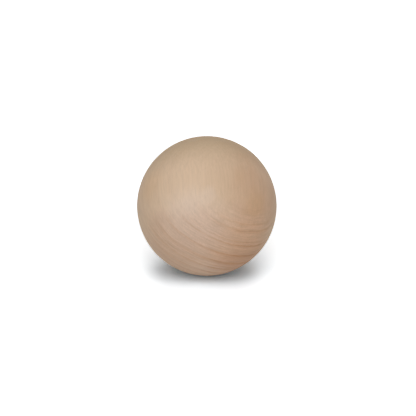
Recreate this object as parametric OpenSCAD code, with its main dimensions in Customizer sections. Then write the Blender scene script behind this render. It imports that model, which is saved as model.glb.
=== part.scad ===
// Turned wooden ball: one solid sphere, sanded smooth all over, with no hole, flat or seam.
// The origin is the centre of the ball.

/* [Ball] */
// Diameter of the ball
ball_d = 50; // [20:1:100]

/* [Hidden] */
// Facets round the ball in a preview
$fn = 180;

// The whole ball, turned from one piece of pale, close-grained hardwood
module ball() {
  color("burlywood") sphere(d = ball_d);
}

ball();
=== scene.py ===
import math

import bpy
from mathutils import Matrix, Vector, noise


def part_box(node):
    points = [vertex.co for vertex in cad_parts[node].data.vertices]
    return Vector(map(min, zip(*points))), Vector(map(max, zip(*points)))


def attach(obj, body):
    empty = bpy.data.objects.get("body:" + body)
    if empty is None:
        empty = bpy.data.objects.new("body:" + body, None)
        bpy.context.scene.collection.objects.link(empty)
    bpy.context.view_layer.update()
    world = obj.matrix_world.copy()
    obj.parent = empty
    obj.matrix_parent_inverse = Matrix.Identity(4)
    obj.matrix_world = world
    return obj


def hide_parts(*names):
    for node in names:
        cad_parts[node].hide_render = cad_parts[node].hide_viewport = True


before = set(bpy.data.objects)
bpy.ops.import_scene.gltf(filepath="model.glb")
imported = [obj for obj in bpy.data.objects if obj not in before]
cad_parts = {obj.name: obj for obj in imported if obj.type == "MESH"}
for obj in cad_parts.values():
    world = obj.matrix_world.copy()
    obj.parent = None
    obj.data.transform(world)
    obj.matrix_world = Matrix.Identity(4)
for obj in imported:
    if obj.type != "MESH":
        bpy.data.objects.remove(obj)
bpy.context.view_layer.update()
ballLow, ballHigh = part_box("ball")
ballRadius = min(ballHigh - ballLow) / 2
mm = 0.001
print(f"frame loaded, the ball is {2 * ballRadius / mm:.1f} mm across")


class Wire:  # a node's output, so that sums on it add the nodes for them
    def __init__(self, tree, socket=None):
        self.tree = tree
        self.socket = socket

    def node(self, kind, settings=None, inputs=None, output=0):
        made = self.tree.nodes.new(kind)
        for name, value in (settings or {}).items():
            setattr(made, name, value)
        for name, value in (inputs or {}).items():
            if isinstance(value, Wire):
                self.tree.links.new(value.socket, made.inputs[name])
            else:
                made.inputs[name].default_value = value
        return Wire(self.tree, made.outputs[output] if made.outputs else None)

    def beside(self, output):  # another output of the same node
        return Wire(self.tree, self.socket.node.outputs[output])

    def maths(self, operation, *values):
        return self.node("ShaderNodeMath", {"operation": operation}, dict(enumerate(values)))

    def __add__(self, other):
        return self.maths("ADD", self, other)

    def __sub__(self, other):
        return self.maths("SUBTRACT", self, other)

    def __mul__(self, other):
        return self.maths("MULTIPLY", self, other)

    def __rsub__(self, other):
        return self.maths("SUBTRACT", other, self)

    __radd__ = __add__
    __rmul__ = __mul__

    def between(self, low, high, first=0.0, last=1.0):  # a soft step from first to last
        ends = {"Value": self, "From Min": low, "From Max": high, "To Min": first, "To Max": last}
        return self.node("ShaderNodeMapRange", {"interpolation_type": "SMOOTHSTEP"}, ends)

    def vector(self, operation, *values, output=0):
        inputs = dict(enumerate((self, *values)))
        return self.node("ShaderNodeVectorMath", {"operation": operation}, inputs, output)

    def length(self):
        return self.vector("LENGTH", output="Value")

    def noise(self, stretch, scale, detail, roughness, output=0):
        place = self.vector("MULTIPLY", stretch)
        inputs = {"Vector": place, "Scale": scale, "Detail": detail, "Roughness": roughness}
        return self.node("ShaderNodeTexNoise", None, inputs, output)

    def mix(self, amount, first, second, blend="MIX"):
        settings = {"data_type": "RGBA", "blend_type": blend}
        inputs = {0: amount, 6: first, 7: second}  # 6, 7 and 2 are the node's colour sockets
        return self.node("ShaderNodeMix", settings, inputs, output=2)

    def towards(self, colour, amount):
        return self.mix(amount, self, colour)

    def darker(self, factor):
        grey = self.node("ShaderNodeCombineColor", None, {0: factor, 1: factor, 2: factor})
        return self.mix(1.0, self, grey, "MULTIPLY")


def newMaterial(name):
    material = bpy.data.materials.new(name)
    material.use_nodes = True
    material.node_tree.nodes.clear()
    return material, Wire(material.node_tree)


def shownRays(start):  # 1 where the room is looked at, straight on or in a gloss
    shown = start.node("ShaderNodeLightPath", output="Is Camera Ray")
    for ray in ("Is Glossy Ray", "Is Transmission Ray"):
        shown = shown.maths("MAXIMUM", shown, shown.node("ShaderNodeLightPath", output=ray))
    return shown


woodBall = {  # lengths are in mm, and a place in the log is outwards, around and along
    "halvings": 6,  # times each face of the block is halved both ways
    "sanding": 0.02,  # the most that sanding has taken off
    "sandedPlace": 14,  # how far apart its low places are
    "fibre": Vector((0.081, -0.662, -0.745)),  # the way the tree grew
    "pithSide": Vector((-0.577, 0.578, -0.577)),  # from the ball's centre towards the pith
    "pithDistance": 38.0,
    "firstRing": 9.8,  # the ring before the first of these years, from the pith
    # each year: its growth, how dark its late wood is, how wide that line is,
    # and the share of the darkness that comes on gradually
    "years": [
        (4.2, 0.6, 0.8, 0.3),
        (4.3, 0.5, 0.7, 0.2),
        (4.3, 0.7, 0.9, 0.3),
        (3.8, 0.4, 0.6, 0.2),
        (3.9, 0.6, 0.8, 0.2),
        (4.0, 0.7, 0.8, 0.3),
        (3.7, 0.75, 1.8, 0.2),
        (3.5, 1.0, 1.0, 0.4),
        (1.4, 0.5, 0.8, 0.1),
        (2.6, 0.75, 1.9, 0.1),
        (3.65, 1.0, 0.9, 0.35),
        (3.7, 0.85, 0.6, 0.1),
        (1.1, 0.4, 0.3, 0.1),
        (3.1, 0.48, 1.0, 0.1),
        (1.35, 0.35, 0.4, 0.1),
        (2.3, 0.3, 0.9, 0.1),
        (2.6, 0.4, 0.9, 0.1),
    ],
    "gradualPart": 0.8,  # share of a year in which that comes on
    "darkestPart": 0.2,  # share of the line's width that is fully dark
    "lineDepth": 0.62,  # how far the darkest line goes to the late wood's colour
    "endGrain": (7, 15),  # along the fibre: where the rings start to sharpen, and are sharp
    "farEndGrain": (-17, -23),  # the same at the other end
    "farEndSharpness": 0.8,
    "lineEdge": (1.1, 0.2),  # how softly a line ends, on side grain and on end grain
    "sideLines": 0.3,  # how strong a line is on side grain
    # lines fade around the pith, and in broken places: from and to, strength from and to
    "paleSide": (14, -2, 0.3, 0.82),
    "lineBreaks": (0.35, 0.6, 0.7, 1.1),
    # noise of each kind: its stretch outwards, around and along, scale, detail, roughness
    "wander": ((1, 1, 0.25), 0.09, 2.0, 0.5),
    "ripple": ((1, 1, 0.12), 0.45, 2.0, 0.5),
    "breaks": ((1, 1, 1), 0.3, 2.0, 0.5),
    "streaks": ((1, 1, 0.03), 1.8, 3.0, 0.65),
    "bands": ((1, 0.05, 0.04), 3.0, 2.0, 0.6),
    "pores": ((1, 1, 0.06), 7.0, 1.0, 0.5),
    "sway": ((1, 1, 0.5), 0.3, 2.0, 0.5),
    "wanderBy": 0.6,  # how far a ring strays over the whole ball
    "rippleBy": 0.5,  # and from place to place
    "swayBy": 4.0,  # how far a patch's edge strays
    "poreEdge": (0.62, 0.75),  # where in the noise a pore starts, and is at its deepest
    "streakShade": 0.25,  # how much lighter and darker the streaks make the wood
    "poreShade": 0.06,
    "bandShade": (0.05, 0.42),  # on side grain, and what end grain adds
    "heights": (0.6, 0.5, 0.3),  # of a streak, a pore's depth and a line
    "relief": 0.05,  # a height of 1
    "reliefStrength": 0.25,
    "roughness": 0.58,
    "lineSheen": 0.08,  # how much smoother the hard late wood is
    "sheen": 0.06,  # bare wood hardly shines
    "tints": {
        "cream": (0.7, 0.52, 0.368, 1),
        "pink": (0.74, 0.59, 0.475, 1),
        "mauve": (0.578, 0.39, 0.284, 1),
        "straw": (0.612, 0.435, 0.294, 1),
        "amber": (0.568, 0.335, 0.208, 1),
        "russet": (0.572, 0.345, 0.213, 1),
        "honey": (0.603, 0.39, 0.239, 1),
        "biscuit": (0.702, 0.5, 0.33, 1),
        "rose": (0.662, 0.495, 0.38, 1),
        "tan": (0.6, 0.415, 0.326, 1),
        "oat": (0.504, 0.37, 0.229, 1),
        "lateWood": (0.45, 0.21, 0.09, 1),
    },
    # soft patches of a tint: the place in the log, the size each way, and how strong
    "patches": [
        ("pink", (52, 16, 13), (17, 19, 14), 0.85),
        ("mauve", (42, 10, 15), (29, 19, 13), 0.85),
        ("straw", (56, 5, 1), (18, 15, 19), 0.85),
        ("amber", (51, -3, 5), (20, 16, 34), 0.85),
        ("russet", (46, -6, 20), (11, 18, 21), 0.85),
        ("honey", (62, -3, 9), (4, 8, 10), 0.85),
        ("rose", (46, 12, 14), (11, 11, 7), 0.85),
        ("biscuit", (39, 25, -3), (9, 9, 8), 0.85),
        ("pink", (39, 3, 25), (9, 9, 6), 0.3),
        ("mauve", (40, 22, 10), (8, 7, 6), 0.4),
        ("pink", (57.5, 14.5, 5.5), (4, 4, 4), 0.35),
        ("honey", (62.7, 3.5, -1.5), (3, 4, 5), 0.25),
        ("tan", (60, 3, 10.5), (6, 9, 5), 0.15),
        ("amber", (57.5, -13, 4), (8, 6, 12), 0.2),
    ],
    "patchCore": 0.2,  # share of a patch's size that has its full tint
    # tints that come on along the fibre: from, to, how strong
    "shifts": [("tan", 15.5, 41, 0.9), ("oat", -3.5, -20, 0.7)],
    "youngWood": (22, 34, 0.3, 1),  # which grow with distance from the pith, in the same way
}


def turnBall():
    bpy.ops.object.select_all(action="DESELECT")
    bpy.ops.mesh.primitive_cube_add(size=2 * ballRadius)
    ball = bpy.context.object
    ball.name = "turned_ball"
    rounding = ball.modifiers.new("rounding", "SUBSURF")
    rounding.levels = woodBall["halvings"]
    rounding.render_levels = woodBall["halvings"]
    bpy.ops.object.modifier_apply(modifier="rounding")
    truing = ball.modifiers.new("truing", "CAST")
    truing.cast_type = "SPHERE"
    truing.factor = 1
    truing.use_radius_as_size = False
    truing.size = ballRadius
    bpy.ops.object.modifier_apply(modifier="truing")
    for point in ball.data.vertices:
        outward = point.co.normalized()
        worn = 0.5 + 0.5 * noise.noise(point.co / mm / woodBall["sandedPlace"])
        point.co = outward * (ballRadius - woodBall["sanding"] * mm * worn)
    bpy.ops.object.shade_smooth()
    return ball


def placeInLog(start):  # in mm: outwards from the pith, around it, and along the fibre
    place = start.node("ShaderNodeTexCoord", output="Object")
    fibre = woodBall["fibre"].normalized()
    outward = -woodBall["pithSide"]
    outward = (outward - fibre * outward.dot(fibre)).normalized()
    around = fibre.cross(outward)
    inputs = {
        "Vector": place,
        "Location": (woodBall["pithDistance"], 0, 0),
        "Rotation": Matrix((outward, around, fibre)).to_euler("XYZ"),
        "Scale": (1 / mm, 1 / mm, 1 / mm),
    }
    return start.node("ShaderNodeMapping", {"vector_type": "POINT"}, inputs)


def lateWood(fromPith, sharpness):
    sideEdge, endEdge = woodBall["lineEdge"]
    softness = sideEdge - (sideEdge - endEdge) * sharpness
    strength = woodBall["sideLines"] + (1 - woodBall["sideLines"]) * sharpness
    yearEnd = woodBall["firstRing"]
    late = 0
    for growth, darkness, width, gradual in woodBall["years"]:
        yearEnd += growth
        lineFull = yearEnd - woodBall["darkestPart"] * width
        slow = fromPith.between(yearEnd - woodBall["gradualPart"] * growth, yearEnd, 0, gradual)
        line = fromPith.between(yearEnd - width, lineFull, 0, 1 - gradual)
        late = late + (slow + line) * fromPith.between(yearEnd + softness, yearEnd, 0, darkness)
    return late * strength


def tinted(inLog):
    tints = woodBall["tints"]
    sway = inLog.noise(*woodBall["sway"], output="Color").vector("SUBTRACT", (0.5, 0.5, 0.5))
    swayed = inLog.vector("ADD", sway.vector("MULTIPLY", (woodBall["swayBy"],) * 3))
    colour = tints["cream"]
    for tint, place, size, amount in woodBall["patches"]:
        reach = swayed.vector("SUBTRACT", place).vector("DIVIDE", size).length()
        cover = reach.between(1, woodBall["patchCore"], 0, amount)
        colour = inLog.mix(cover, colour, tints[tint])
    return colour


def sandedWood():
    material, start = newMaterial("sanded_wood")
    inLog = placeInLog(start)
    around = start.node("ShaderNodeSeparateXYZ", None, {0: inLog}, "Y")
    along = around.beside("Z")

    wander = (inLog.noise(*woodBall["wander"]) - 0.5) * woodBall["wanderBy"]
    ripple = (inLog.noise(*woodBall["ripple"]) - 0.5) * woodBall["rippleBy"]
    fromPith = inLog.vector("MULTIPLY", (1, 1, 0)).length()
    fromPith = fromPith + wander + ripple

    farEnd = along.between(*woodBall["farEndGrain"], 0, woodBall["farEndSharpness"])
    sharpness = along.between(*woodBall["endGrain"]) + farEnd
    late = lateWood(fromPith, sharpness) * around.between(*woodBall["paleSide"])
    late = late * inLog.noise(*woodBall["breaks"]).between(*woodBall["lineBreaks"])

    streaks = inLog.noise(*woodBall["streaks"])
    inRing = start.node("ShaderNodeCombineXYZ", None, {0: fromPith, 1: around, 2: along})
    bands = inRing.noise(*woodBall["bands"])
    pores = inLog.noise(*woodBall["pores"]).between(*woodBall["poreEdge"])

    colour = tinted(inLog)
    grown = fromPith.between(*woodBall["youngWood"])
    for tint, first, last, amount in woodBall["shifts"]:
        cover = along.between(first, last, 0, amount) * grown
        colour = colour.towards(woodBall["tints"][tint], cover)
    colour = colour.towards(woodBall["tints"]["lateWood"], late * woodBall["lineDepth"])
    sideBands, endBands = woodBall["bandShade"]
    colour = colour.darker(1 + (streaks - 0.5) * woodBall["streakShade"])
    colour = colour.darker(1 + (bands - 0.5) * (sideBands + endBands * sharpness))
    colour = colour.darker(1 - pores * woodBall["poreShade"])

    streakHeight, poreDepth, lineHeight = woodBall["heights"]
    relief = {
        "Strength": woodBall["reliefStrength"],
        "Distance": woodBall["relief"] * mm,
        "Height": streaks * streakHeight - pores * poreDepth + late * lineHeight,
    }
    finish = {
        "Base Color": colour,
        "Roughness": woodBall["roughness"] - late * woodBall["lineSheen"],
        "Specular IOR Level": woodBall["sheen"],
        "Normal": start.node("ShaderNodeBump", None, relief),
    }
    shader = start.node("ShaderNodeBsdfPrincipled", None, finish)
    start.node("ShaderNodeOutputMaterial", None, {"Surface": shader})
    return material


ball = turnBall()
print("ball turned,", len(ball.data.polygons), "faces")
ball.data.materials.append(sandedWood())
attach(ball, "root")
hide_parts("ball")
print("wood grown and put on the ball")


room = {
    "floorSize": 6.0,  # in metres
    "floorShade": (0.77, 0.77, 0.77, 1),  # what the floor gives back to the ball
    "farWhite": (1.81, 1.81, 1.81, 1),  # how pale it looks, out in the open
    "nearWhitePaintedCool": (1.58, 1.86, 2.1, 1),  # and near the ball: a painted cool tint in the shade there, which cancels the warm light the wood throws on the floor
    "nearReach": 6.0,  # how far the floor looks for the ball above it, in ball radiuses
    "near": (0.1, 1.0),  # share of open sky there: nearest the ball, and far from it
    # a painted shadow darkens the floor's colour where the ball fills a side: which way, how far
    # in ball radiuses
    "paintedShadowSides": [(Vector((-1.9, 0.6, 1.0)), 0.53), (Vector((1.9, 0.2, 1.0)), 0.63)],
    "paintedShadowOpen": (0.09, 0.56),  # share of open sky to that side at which the painted shadow is black, and at which it leaves the floor untouched
    "skyLight": 0.15,
}


def openSky(start, reach, side=None):
    inputs = {"Distance": reach * ballRadius}
    if side:
        x, y, z = side.normalized()
        inputs["Normal"] = start.node("ShaderNodeCombineXYZ", None, {"X": x, "Y": y, "Z": z})
    return start.node("ShaderNodeAmbientOcclusion", None, inputs, "AO")


# the floor, whose shown colour carries a painted shadow and a painted cool tint near the ball
def whiteFloorWithPaintedShadow():
    material, start = newMaterial("white_floor_with_painted_shadow")
    # painted cool tint in the shade near the ball, mixed in by how much open sky the floor sees
    above = openSky(start, room["nearReach"])
    white = start.mix(above.between(*room["near"]), room["nearWhitePaintedCool"], room["farWhite"])
    # painted shadow: the floor's shown colour is darkened where the ball fills a side
    for side, reach in room["paintedShadowSides"]:
        white = white.darker(openSky(start, reach, side).between(*room["paintedShadowOpen"]))
    finish = {
        "Base Color": start.mix(shownRays(start), room["floorShade"], white),
        "Roughness": 1.0,
        "Specular IOR Level": 0.0,
    }
    paint = start.node("ShaderNodeBsdfPrincipled", None, finish)
    glass = start.node("ShaderNodeBsdfTransparent")  # so the ball can be seen from below
    below = start.node("ShaderNodeNewGeometry", output="Backfacing")
    looked = start.node("ShaderNodeLightPath", output="Is Camera Ray")
    surface = start.node("ShaderNodeMixShader", None, {0: below * looked, 1: paint, 2: glass})
    start.node("ShaderNodeOutputMaterial", None, {"Surface": surface})
    return material


def layFloor():
    bpy.ops.object.select_all(action="DESELECT")
    bpy.ops.mesh.primitive_plane_add(size=room["floorSize"], location=(0, 0, ballLow.z))
    floor = bpy.context.object
    floor.name = "floor"
    bpy.ops.object.transform_apply(location=True)
    floor.data.materials.append(whiteFloorWithPaintedShadow())


def paintSky():
    world = bpy.data.worlds.new("studio")
    bpy.context.scene.world = world
    world.use_nodes = True
    world.node_tree.nodes.clear()
    start = Wire(world.node_tree)
    ends = {"Value": shownRays(start), "To Min": room["skyLight"], "To Max": 1.0}
    strength = start.node("ShaderNodeMapRange", None, ends)
    sky = start.node("ShaderNodeBackground", None, {"Color": (1, 1, 1, 1), "Strength": strength})
    start.node("ShaderNodeOutputWorld", None, {"Surface": sky})


def direction(azimuth, elevation):  # azimuth 0 is the front, 90 the right
    turn, lift = math.radians(azimuth), math.radians(elevation)
    level = math.cos(lift)
    return Vector((math.sin(turn) * level, -math.cos(turn) * level, math.sin(lift)))


lamps = {  # azimuth and elevation of each, half the angle it fills, and how bright
    "front_lamp": (0, 25, 40, 0.407),
    "key_lamp": (-12, 22, 30, 0.147),
    "top_lamp": (0, 60, 20, 0.17),
    "back_lamp": (180, 70, 25, 0.169),
}


def hangLamp(name, azimuth, elevation, halfAngle, brightness):
    light = bpy.data.lights.new(name, "SUN")
    light.angle = math.radians(2 * halfAngle)
    light.energy = brightness * math.pi  # at 1, white that faces it renders white
    lamp = bpy.data.objects.new(name, light)
    bpy.context.scene.collection.objects.link(lamp)
    towards = direction(azimuth, elevation)
    lamp.location = towards
    lamp.rotation_mode = "QUATERNION"
    lamp.rotation_quaternion = (-towards).to_track_quat("-Z", "Y")


view = {
    "elevation": 20,
    "lens": 100.0,
    "sensor": 36.0,
    "frameWidth": 416,  # in pixels, as the next three
    "radiusInFrame": 69.87,
    "leftOfMiddle": 1.13,
    "aboveMiddle": 2.13,
}


def setCamera():
    focal = view["frameWidth"] * view["lens"] / view["sensor"]  # the lens in pixels
    away = math.hypot(focal * ballRadius / view["radiusInFrame"], ballRadius)
    pixel = away / focal  # what a pixel spans at the ball's centre
    towards = direction(0, view["elevation"])
    up = direction(180, 90 - view["elevation"])
    aim = Vector((view["leftOfMiddle"] * pixel, 0, 0)) - up * view["aboveMiddle"] * pixel
    data = bpy.data.cameras.new("camera")
    data.lens = view["lens"]
    data.sensor_width = view["sensor"]
    camera = bpy.data.objects.new("camera", data)
    bpy.context.scene.collection.objects.link(camera)
    camera.location = towards * away
    camera.rotation_mode = "QUATERNION"
    camera.rotation_quaternion = (aim - camera.location).to_track_quat("-Z", "Y")
    bpy.context.scene.camera = camera


layFloor()
paintSky()
for name, settings in lamps.items():
    hangLamp(name, *settings)
setCamera()
bpy.context.scene.view_settings.view_transform = "Standard"
print("room lit and camera set")
